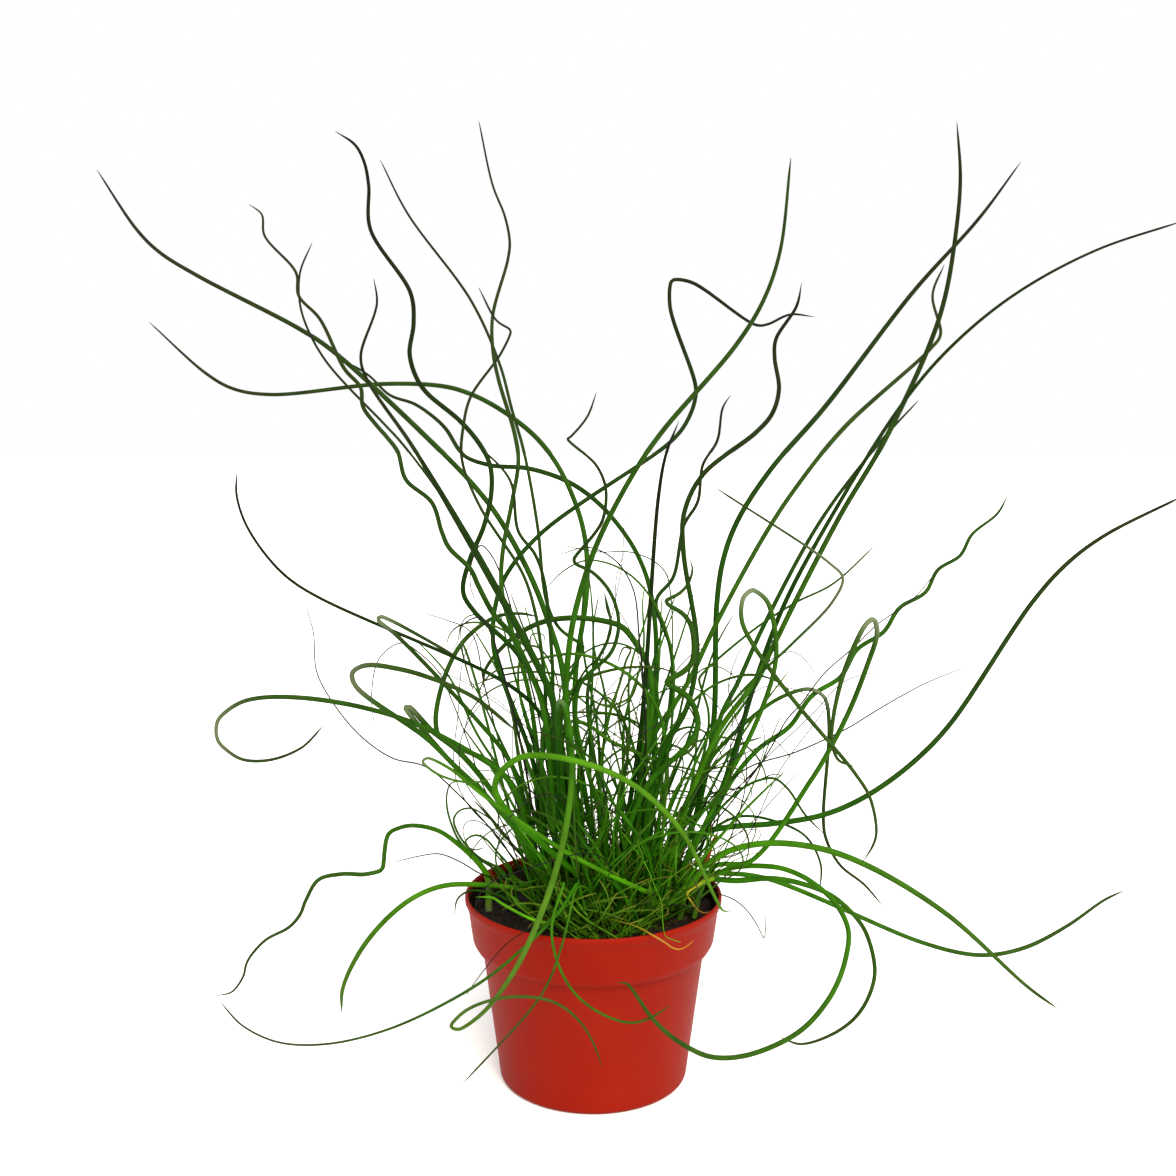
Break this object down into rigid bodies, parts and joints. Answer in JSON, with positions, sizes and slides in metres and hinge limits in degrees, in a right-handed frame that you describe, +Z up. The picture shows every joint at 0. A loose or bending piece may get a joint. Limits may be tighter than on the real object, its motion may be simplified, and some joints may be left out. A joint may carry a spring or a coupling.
{
  "type": "potted soft rush",
  "caption": "Curly soft rush with thin twisting round stems, growing from a crown in a round tapered terracotta-red plastic nursery pot filled with dark soil.",
  "frame": {"origin": "centre of the pot's base, on the surface that the pot stands on", "axes": "+Z up along the pot's axis, -Y towards the viewer of the picture, +X to the viewer's right"},
  "size_m": [0.5535, 0.3719, 0.452],
  "materials": {
    "pot_plastic": "moulded matt terracotta-red polypropylene",
    "potting_soil": "dark crumbly peat soil",
    "rush_stem": "smooth satin green stems",
    "rush_shoots": "fresh green young shoots"
  },
  "bodies": {
    "root": {"pot": "pot_plastic", "soil": "potting_soil", "crown_shoots": "rush_shoots", "stem_left_sweep": "rush_stem", "stem_left_flat": "rush_stem", "stem_left_coil": "rush_stem", "stem_left_thin": "rush_stem", "stem_left_dark": "rush_stem", "stem_left_bow": "rush_stem", "stem_back_wavy": "rush_stem", "stem_back_thin": "rush_stem", "stem_back_tall": "rush_stem", "stem_hooked_thin": "rush_stem", "stem_second_left": "rush_stem", "stem_left_long": "rush_stem", "stem_left_hairpin": "rush_stem", "stem_left_paddle": "rush_stem", "stem_left_loop": "rush_stem", "stem_left_kink": "rush_stem", "stem_front_broad": "rush_stem", "stem_arch_left": "rush_stem", "stem_arch_top": "rush_stem", "stem_front_fall": "rush_stem", "stem_front_arch": "rush_stem", "stem_low_coil": "rush_stem", "stem_low_arch": "rush_stem", "stem_low_hook": "rush_stem", "stem_low_sweep": "rush_stem", "stem_pot_loop": "rush_stem", "stem_pot_thin": "rush_stem", "stem_right_under": "rush_stem", "stem_right_curl": "rush_stem", "stem_right_low": "rush_stem", "stem_right_bright": "rush_stem", "stem_right_exit_low": "rush_stem", "stem_right_exit_high": "rush_stem", "stem_right_tall": "rush_stem", "stem_right_green": "rush_stem", "stem_right_curved_tip": "rush_stem", "stem_right_fine": "rush_stem", "stem_mid_sweep": "rush_stem", "stem_mid_crook": "rush_stem", "stem_mid_bend": "rush_stem", "stem_mid_wavy": "rush_stem", "stem_mid_straight": "rush_stem", "stem_mid_zigzag": "rush_stem", "stem_double_kink": "rush_stem", "stem_right_thin_kink": "rush_stem", "stem_right_thin_wave": "rush_stem", "stem_right_great_loop": "rush_stem", "stem_right_coil": "rush_stem", "stem_right_hook": "rush_stem", "stem_right_drop": "rush_stem", "stem_right_arch_thin": "rush_stem", "stem_right_inner": "rush_stem", "stem_short_curve": "rush_stem"}
  },
  "joints": []
}
